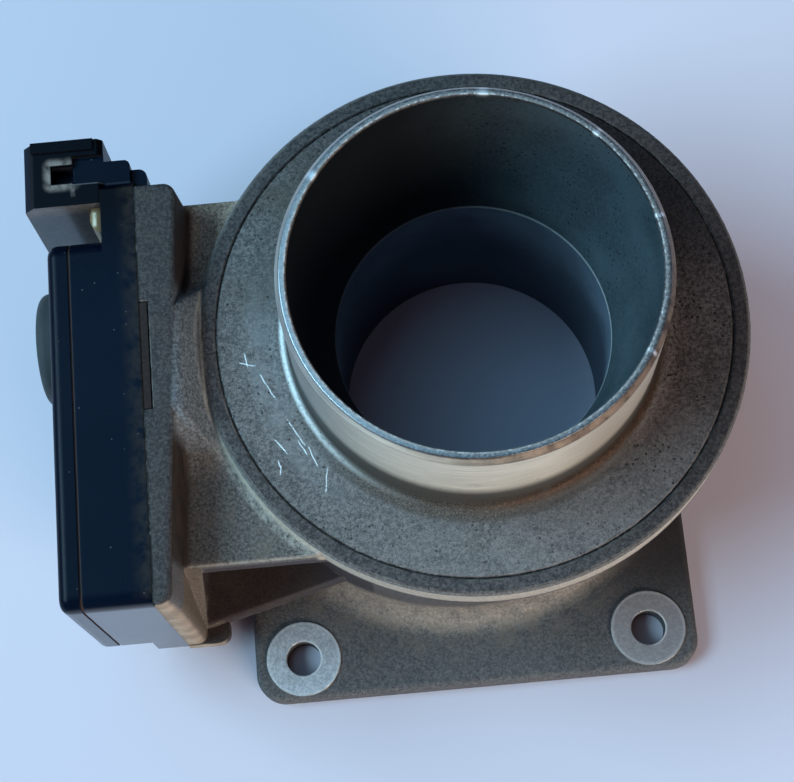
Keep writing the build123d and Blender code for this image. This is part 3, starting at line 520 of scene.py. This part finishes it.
def paint_spigot_wall(f, brushed):
    """Outside of the spigot: cream at the front in painted warm light, grey elsewhere, and a painted
    dark reflection low down; gives the wall.
    """
    wall = f.z.band(RIM_TOP + 0.7, RIM_TOP + 1.7) * f.r.band(MOUTH_R + 0.2, MOUTH_R + 0.7)
    # painted light: the front of the wall is painted cream, for warm light from the front
    cream = f.mix(brushed.band(0.3, 0.72), (0.58, 0.55, 0.45), (0.94, 0.9, 0.76))
    cream = f.mix(f.toward(-40, 35) * 0.7, cream, (0.42, 0.36, 0.27))
    grey = f.mix(brushed.band(0.3, 0.72), (0.27, 0.26, 0.25), (0.54, 0.51, 0.49))
    tone = f.mix(f.toward(-82, 75), grey, cream)
    # painted reflection: the wall is painted darker towards its foot, as if mirroring the dark ring
    painted_foot_reflection = f.mix(f.grain, (0.032, 0.033, 0.033), (0.1, 0.096, 0.09))
    tone = f.mix(f.z.band(RIM_TOP + 12.1, RIM_TOP + 6.3) * 0.94, tone, painted_foot_reflection)
    spots = f.patch.band(0.6, 0.78) * f.z.band(RIM_TOP + 19.3, RIM_TOP + 9.3)
    tone = f.mix(spots * 0.5, tone, (0.13, 0.11, 0.085))
    f.paint(wall, tone)
    return wall


def paint_spigot_foot(f):
    """Foot of the spigot: a pale worn line on the left with a painted highlight, painted shade in the
    front fillet, brown speckle and rust at the front right.
    """
    # the pale line on the left of the foot is worn metal with a painted highlight
    line = f.r.peak(SPIGOT_R + 1.2, 0.9) * f.z.between(RIM_TOP + 0.2, RIM_TOP + 4.8, 0.6)
    line = line * f.toward(-163, 58) * f.patch.band(0.12, 0.36) * f.grain.band(0.3, 0.5)
    f.paint(line, (0.74, 0.81, 0.81))
    foot = f.r.between(SPIGOT_R + 0.2, SPIGOT_R + 3.4, 0.7)
    foot = foot * f.z.band(RIM_TOP + 5.3, RIM_TOP + 1.8)
    # painted shade: the fillet round the front of the foot is painted dark
    f.paint(foot * f.toward(-95, 75) * 0.7, (0.045, 0.043, 0.04))
    speckle = f.mix(f.speck.band(0.4, 0.6), (0.022, 0.017, 0.013), (0.15, 0.128, 0.1))
    f.paint(foot * f.toward(-105, 38) * f.fine * 0.8, speckle)
    rust = f.mix(f.grain.band(0.35, 0.65), (0.02, 0.011, 0.007), (0.082, 0.047, 0.029))
    rusted = f.r.between(SPIGOT_R, SPIGOT_R + 1.6, 0.5)
    rusted = rusted * f.z.band(RIM_TOP + 4.8, RIM_TOP + 2.1) * f.toward(-52, 52)
    f.paint(rusted * f.patch.band(0.2, 0.5) * 0.9, rust)


def paint_inside(f, pores):
    """Inside of the spigot: dark spotted film with painted shade, deepest on the left, and a painted
    highlight on the throat's edge.
    """
    inside = f.r.band(MOUTH_R + 0.3, MOUTH_R) * f.z.band(SPIGOT_TOP - 0.2, SPIGOT_TOP - 0.8)
    film = f.mix(f.cloud.band(0.3, 0.7), (0.021, 0.036, 0.046), (0.038, 0.064, 0.08))
    film = f.mix(f.fine * 0.4, film, (0.08, 0.098, 0.105))
    film = f.mix(pores * 0.8, film, (0.004, 0.006, 0.007))
    # painted shade: the inner wall is painted darkest on the left, away from the window's light
    shaded_left = (f.y * 0.1 - f.x).band(-22.0, 17.0)
    film = f.mix(shaded_left * 0.97, film, (0.001, 0.0014, 0.0025))
    f.paint(inside, film)
    # painted highlight along the throat's edge
    throat = f.z.band(THROAT_Z + 0.9, THROAT_Z + 0.3) * f.r.band(BORE_R + 0.8, BORE_R + 0.3)
    f.paint(throat * f.patch.band(0.2, 0.45) * 0.7, (0.4, 0.44, 0.45))
    return inside


def paint_lip(f):
    """Spigot's lip: flat band paler on the left in painted light, rusty outer arris, and an inner edge
    with a painted highlight and pale nicks; gives band and edge.
    """
    lip = f.z.band(SPIGOT_TOP - 0.5, SPIGOT_TOP - 0.15) * f.r.band(MOUTH_R, MOUTH_R + 0.15)
    tone = f.grained((0.13, 0.14, 0.145), (0.36, 0.375, 0.38))
    # painted light: the lip is painted paler on the left, towards the window
    f.paint(lip, f.mix(f.toward(-165, 70) * 0.5, tone, (0.48, 0.52, 0.53)))
    arris = f.r.band(SPIGOT_R - 1.0, SPIGOT_R - 0.8) * f.z.band(SPIGOT_TOP - 2.4, SPIGOT_TOP - 1.5)
    rust = f.mix(f.patch.band(0.35, 0.6), (0.055, 0.034, 0.023), (0.2, 0.145, 0.105))
    f.paint(arris * (f.toward(-45, 80) * 0.75 + 0.2), rust)

    chips = f.noise(0.9, 3, 0.6).band(0.48, 0.62)
    # painted highlight along the inner edge, broken by chips, with pale nicks of bare metal
    highlight_and_nicks = f.r.peak(MOUTH_R, 0.22) * f.z.band(SPIGOT_TOP - 0.9, SPIGOT_TOP - 0.4)
    highlight_and_nicks = highlight_and_nicks * (chips * 0.5 + 0.2)
    mouth = f.z.band(SPIGOT_TOP - 1.4, SPIGOT_TOP - 0.4) * f.r.band(MOUTH_R - 0.4, MOUTH_R)
    for direction, half in NICKS:
        highlight_and_nicks = highlight_and_nicks + f.angle.peak(direction, half) * mouth
    highlight_and_nicks = highlight_and_nicks.clamp()
    f.paint(highlight_and_nicks, (0.82, 0.85, 0.86))
    return lip, highlight_and_nicks


def paint_scratches(f):
    """Bright scratches on the left of the ring's top; gives where they are."""
    marks = 0.0
    for start, end in SCRATCHES:
        marks = f.stroke(start, end, SCRATCH_W) + marks
    marks = (marks * f.noise(0.8, 3, 0.7).band(0.32, 0.5)).clamp()
    marks = marks * f.z.band(RIM_TOP + 0.8, RIM_TOP + 0.3)
    f.paint(marks * 0.95, (0.75, 0.82, 0.84))
    return marks


def turned_metal():
    """The cover with its spigot: fine-grained ring, scratched and pitted, nicked lip, stained foot,
    and painted light, shade and reflection on the spigot.
    """
    f = Metal("turned_metal", 13, 4.2, 0.32)
    pores = f.cells(1.25).band(0.24, 0.14) * f.noise(6, 3, 0.5).band(0.42, 0.58)
    brushed = f.noise(2.2, 5, 0.65, (0.2, 0.2, 9.0))
    paint_ring_top(f, pores)
    wall = paint_spigot_wall(f, brushed)
    paint_spigot_foot(f)
    inside = paint_inside(f, pores)
    lip, highlight_and_nicks = paint_lip(f)
    marks = paint_scratches(f)
    seam = f.r.band(COVER_R - 0.3, COVER_R - 0.05) * f.z.band(RIM_TOP + 0.3, RIM_TOP + 0.1)
    f.paint(seam * f.broken_line() * 0.7, JOINT_TONE)

    height = f.patch * 0.2 + f.grain * 0.5 - pores * 0.8 + marks * 0.4
    height = height * (1 - inside * 0.6) * (1 - wall * 0.75)
    return f.done(
        Roughness=0.56 + f.grain * 0.18 - lip * 0.18 - wall * 0.16 - marks * 0.2,
        Metallic=(0.12 + lip * 0.35 + wall * 0.45 + highlight_and_nicks * 0.5 + marks * 0.4).clamp(),
        Normal=f.bump(brushed * wall, 0.3, 0.08, f.bump(height, 0.5, 0.13, f.rounded(0.25))),
        Specular_IOR_Level=0.2,
    )


# --------------------------------------------------------------------------- mouldings' finishes
def moulding(name, tone, gloss, dust, coat, marks=None):
    """Dark moulding with a fine skin and dust; coat is how much clear coat its front faces have, and
    how much painted sheen.
    """
    f = Finish(name)
    cloud = f.noise(24, 3, 0.5)
    fine = f.noise(0.6, 2, 0.5)
    specks = f.cells(2.6).band(0.06, 0.03)
    motes = f.cells(0.9).band(0.1, 0.04) * f.noise(5, 2, 0.5).band(0.4, 0.6)
    film = (cloud.band(0.35, 0.8) * 0.3 + f.edges(0.6) * 0.35) * dust
    f.colour = f.mix(film, tone, tuple(share * 1.8 + 0.005 for share in tone))
    f.paint(motes * dust * 0.16, (0.2, 0.2, 0.2))
    f.paint(specks * dust * 0.45, (0.25, 0.26, 0.27))
    # painted reflection: front faces are painted paler, besides taking a clear coat
    coat_and_sheen = f.facing("Y").band(-0.75, -0.98) * coat
    f.paint(coat_and_sheen, (0.035, 0.035, 0.04))
    rough = gloss + film * 0.2 + fine * 0.06 + specks * 0.2
    if marks:
        rough = rough + marks(f) * 0.3
    return f.done(
        Roughness=rough,
        Normal=f.bump(fine * 0.5 + cloud, 0.12, 0.05, f.rounded(0.3)),
        Specular_IOR_Level=0.08,
        Coat_Weight=coat_and_sheen,
        Coat_IOR=1.6,
        Coat_Roughness=0.16,
    )


def paint_connector(f, grain, patch, top):
    """Dust round the connector's latch window and on its front wall; gives both."""
    away_x = f.x.beyond(*LATCH_X)
    away_y = f.y.beyond(*LATCH_Y)
    away = (away_x * away_x + away_y * away_y).math("SQRT")
    halo = away.band(2.0, 0.5) * away.band(0.05, 0.25) * top
    streak = f.x.between(LATCH_X[1] - 0.4, LATCH_X[1] + 0.4, 0.2) * top
    streak = streak * f.y.between(LATCH_Y[0] - 2.7, LATCH_Y[0] + 0.1, 0.4)
    dusty = halo * f.x.band(LATCH_X[1] + 3.5, LATCH_X[0] + 1.5) * 0.7 + halo * 0.25
    dusty = (dusty + streak * 0.5) * patch.band(0.25, 0.6)
    f.paint(dusty, (0.2, 0.185, 0.17))
    crease = f.x.between(LATCH_X[1] + 0.2, PAD_X + 1.5, 0.2) * f.y.peak(BACK_Y - 0.05, 0.3)
    crease = crease * f.z.band(PAD_TOP - 1.5, PAD_TOP - 0.5)
    f.paint(crease * 0.6, (0.14, 0.15, 0.16))
    front = f.upright() * f.y.between(CONN_Y - 0.3, CONN_Y + 0.3, 0.15)
    front = front * f.x.band(CONN_X + 0.2, CONN_X - 0.4)
    front_tone = f.mix(patch, (0.057, 0.053, 0.052), (0.23, 0.212, 0.195))
    f.paint(front * (grain * 0.9 + 0.1), front_tone)
    return dusty + front


def paint_bead(f, patch):
    """Amber bead in the corner between the box and the connector, painted paler on the left and darker
    on the right as light and shade, with a painted highlight.
    """
    bead = f.x.between(*BEAD_X, 0.15) * f.y.between(*BEAD_Y, 0.2) * f.z.between(*BEAD_Z, 0.2)
    # painted light and shade: the bead is painted paler on its left, towards the window, and darker on
    # its right
    left = f.x.band(BEAD_X[1] - 0.55, BEAD_X[0] + 1.2)
    amber = f.mix(left, (0.05, 0.028, 0.014), (0.2, 0.135, 0.07))
    # painted highlight near the top of the bead's left side
    painted_glint = f.x.peak(BEAD_X[0] + 1.4, 0.6) * f.y.between(BEAD_Y[0] + 2.2, BEAD_Y[1] - 0.95, 0.4)
    painted_glint = painted_glint * f.z.band(BEAD_Z[1] - 5.9, BEAD_Z[1] - 1.9) * patch.band(0.2, 0.5)
    f.paint(bead, f.mix(painted_glint, amber, (0.75, 0.68, 0.52)))


def housing_marks(f):
    """Marks on the electronics box and its connector; gives where they roughen the skin."""
    grain = f.noise(0.7, 3, 0.6)
    patch = f.noise(2.4, 4, 0.65)
    top = f.z.band(PAD_TOP - 1.0, PAD_TOP - 0.2)
    clean_back = f.z.band(PAD_TOP - 1.5, PAD_TOP - 0.5) * f.y.band(BOX_END - 9.2, BOX_END + 9.8)
    f.paint(clean_back * 0.85, (0.0, 0.0003, 0.0015))
    dusty = paint_connector(f, grain, patch, top)
    paint_bead(f, patch)
    tab = f.x.band(PAD_X - 0.05, PAD_X + 0.05) * f.y.between(TAB_Y[0] - 0.8, TAB_Y[1] + 0.8)
    f.paint(tab * 0.85, f.mix(grain, (0.012, 0.009, 0.0085), (0.045, 0.034, 0.031)))
    joint = f.x.between(PAD_X - 0.3, PAD_X + 0.05, 0.08) * f.y.band(BOX_END + 0.8, BOX_END - 1.2)
    f.paint(joint * (1 - tab) * 0.9, (0.002, 0.002, 0.002))
    smear = f.x.band(PAD_X - 4.2, PAD_X - 0.4) * top * patch.band(0.3, 0.62)
    f.paint(smear * (1 - tab) * 0.5, (0.035, 0.03, 0.025))
    return (dusty + tab).clamp()


# ----------------------------------------------------------------------- small pieces' finishes
def plain(name, tone, roughness, metallic=0.0):
    """A small piece's finish: one tone, mottled a third lighter and darker, slightly uneven."""
    f = Finish(name)
    darker = tuple(share * 0.65 for share in tone)
    lighter = tuple(min(1.0, share * 1.35) for share in tone)
    f.colour = f.mix(f.noise(2.0, 4, 0.6), darker, lighter)
    fine = f.noise(1 / 3, 2, 0.5)
    return f.done(
        Roughness=roughness + fine * 0.12,
        Metallic=metallic,
        Normal=f.bump(fine, 0.2, 0.05),
    )


finishes = {
    "body_casting": cast_skin(),
    "inlet_cover": turned_metal(),
    # the blue in the near-black tones of the box and the lid is a painted reflection
    "sensor_housing": moulding("housing_black", (0.0, 0.0034, 0.0115), 0.3, 0.8, 0.74, housing_marks),
    "housing_lid": moulding("lid_black", (0.0, 0.0028, 0.0095), 0.3, 0.45, 0.5),
    "access_plug": moulding("plug_grey", (0.044, 0.051, 0.055), 0.5, 1.0, 0.5),
    "lid_sealant": plain("brown_sealant", (0.05, 0.024, 0.018), 0.6),
    "connector_terminals": plain("tinned_strip", (0.62, 0.58, 0.5), 0.3, 1.0),
    "base_plate": plain("rolled_aluminium", (0.6, 0.61, 0.62), 0.38, 1.0),
    "circuit_board": plain("alumina", (0.72, 0.72, 0.68), 0.55),
    "control_ic": plain("chip_black", (0.02, 0.02, 0.021), 0.45),
    "power_transistor": plain("transistor_black", (0.025, 0.025, 0.026), 0.5),
    "chip_capacitors": plain("tan_ceramic", (0.38, 0.27, 0.17), 0.4),
    "chip_resistors": plain("dark_ceramic", (0.06, 0.06, 0.065), 0.4),
    "trim_potentiometer": plain("blue_moulding", (0.03, 0.1, 0.34), 0.4),
    "trim_rotor": plain("rotor_brass", (0.6, 0.47, 0.26), 0.3, 1.0),
    "probe_holder": plain("glass_filled_black", (0.03, 0.03, 0.032), 0.55),
    "probe_seal": plain("seal_rubber", (0.012, 0.012, 0.012), 0.6),
    "support_pins": plain("pin_nickel", (0.6, 0.58, 0.54), 0.28, 1.0),
    "hot_wire": plain("platinum", (0.7, 0.69, 0.67), 0.3, 1.0),
    "temperature_element": plain("glazed_platinum", (0.62, 0.61, 0.6), 0.25, 0.6),
    "lead_strips": plain("bond_ribbon", (0.65, 0.62, 0.56), 0.3, 1.0),
    "module_screws": plain("zinc_plate", (0.55, 0.54, 0.48), 0.35, 1.0),
    "silicone_gel": plain("clear_gel", (0.5, 0.5, 0.47), 0.18),
}
for node_name, node_object in nodes.items():
    node_object.data.materials.clear()
    node_object.data.materials.append(finishes[node_name])


# ------------------------------------------------------------------------------ floor and light
def table_top():
    """Pale board, a little uneven, with a painted pool of light at its front right, that falls off to
    a darker tone far from the sensor.
    """
    f = Finish("table_top")
    f.colour = f.mix(f.y.band(-110.0, 130.0), (0.565, 0.54, 0.62), (0.66, 0.62, 0.705))
    # painted light: a paler patch on the board at the front right of the sensor
    f.paint(f.x.band(20.0, 90.0) * f.y.band(60.0, 0.0) * 0.6, (0.72, 0.66, 0.77))
    f.paint(f.noise(60, 3, 0.5) * 0.1, (0.66, 0.66, 0.75))
    f.paint(f.r.band(180.0, 1100.0), (0.2, 0.19, 0.21))
    return f.done(Roughness=0.7, Specular_IOR_Level=0.2)


FLOOR_HALF = 3.0
plane = bmesh.new()
bmesh.ops.create_grid(plane, x_segments=1, y_segments=1, size=FLOOR_HALF)
floor_mesh = bpy.data.meshes.new("table")
plane.to_mesh(floor_mesh)
plane.free()
floor = bpy.data.objects.new("table", floor_mesh)
floor_mesh.materials.append(table_top())
bpy.context.scene.collection.objects.link(floor)

# What the lamps point at, metres
AIM = Vector((0.0, 0.0, 0.03))


def lamp(name, place, size, watts, colour):
    """A rectangular lamp at a place in metres, turned towards the sensor."""
    light = bpy.data.lights.new(name, "AREA")
    light.shape = "RECTANGLE"
    light.size, light.size_y = size
    light.energy = watts
    light.color = colour
    holder = bpy.data.objects.new(name, light)
    holder.location = place
    holder.rotation_euler = (AIM - Vector(place)).to_track_quat("-Z", "Y").to_euler()
    bpy.context.scene.collection.objects.link(holder)


lamp("window", (-1.04, 0.04, 1.08), (1.3, 0.6), 31.5, (0.49, 0.81, 1.0))
lamp("room", (0.66, -1.14, 0.48), (0.9, 0.5), 16.8, (1.0, 0.89, 0.8))
lamp("ceiling", (-0.4, 0.3, 1.25), (0.8, 0.8), 3.9, (0.26, 0.66, 1.0))


def surroundings():
    """Faint warm light from all round, and a grey wall that only the camera sees."""
    world = bpy.data.worlds.new("room")
    world.use_nodes = True
    tree = world.node_tree
    glow = tree.nodes["Background"]
    glow.inputs["Color"].default_value = (1.0, 0.45, 0.4, 1.0)
    glow.inputs["Strength"].default_value = 0.08
    wall = tree.nodes.new("ShaderNodeBackground")
    wall.inputs["Color"].default_value = (0.36, 0.39, 0.46, 1.0)
    path = tree.nodes.new("ShaderNodeLightPath")
    seen = tree.nodes.new("ShaderNodeMixShader")
    tree.links.new(path.outputs["Is Camera Ray"], seen.inputs[0])
    tree.links.new(glow.outputs[0], seen.inputs[1])
    tree.links.new(wall.outputs[0], seen.inputs[2])
    tree.links.new(seen.outputs[0], tree.nodes["World Output"].inputs["Surface"])
    return world


bpy.context.scene.world = surroundings()

# --------------------------------------------------------------------------------------- camera
# Width of the picture and focal length of the lens, pixels
PICTURE_W = 794.0
FOCAL_LENGTH = 1857.8
# Where the camera stands and which way its picture's sides run
EYE = Vector((-13.116, -112.127, 383.293)) * MM
EYE_RIGHT = Vector((0.995794, -0.085494, -0.032929))
EYE_UP = Vector((0.091355, 0.953732, 0.286443))

camera = bpy.data.cameras.new("camera")
camera.sensor_width = 36.0
camera.lens = FOCAL_LENGTH * camera.sensor_width / PICTURE_W
camera.clip_start = 0.01
viewpoint = bpy.data.objects.new("camera", camera)
turn = Matrix((EYE_RIGHT, EYE_UP, EYE_RIGHT.cross(EYE_UP))).transposed().to_4x4()
viewpoint.matrix_world = Matrix.Translation(EYE) @ turn
bpy.context.scene.collection.objects.link(viewpoint)
bpy.context.scene.camera = viewpoint

bpy.context.scene.view_settings.view_transform = "Standard"
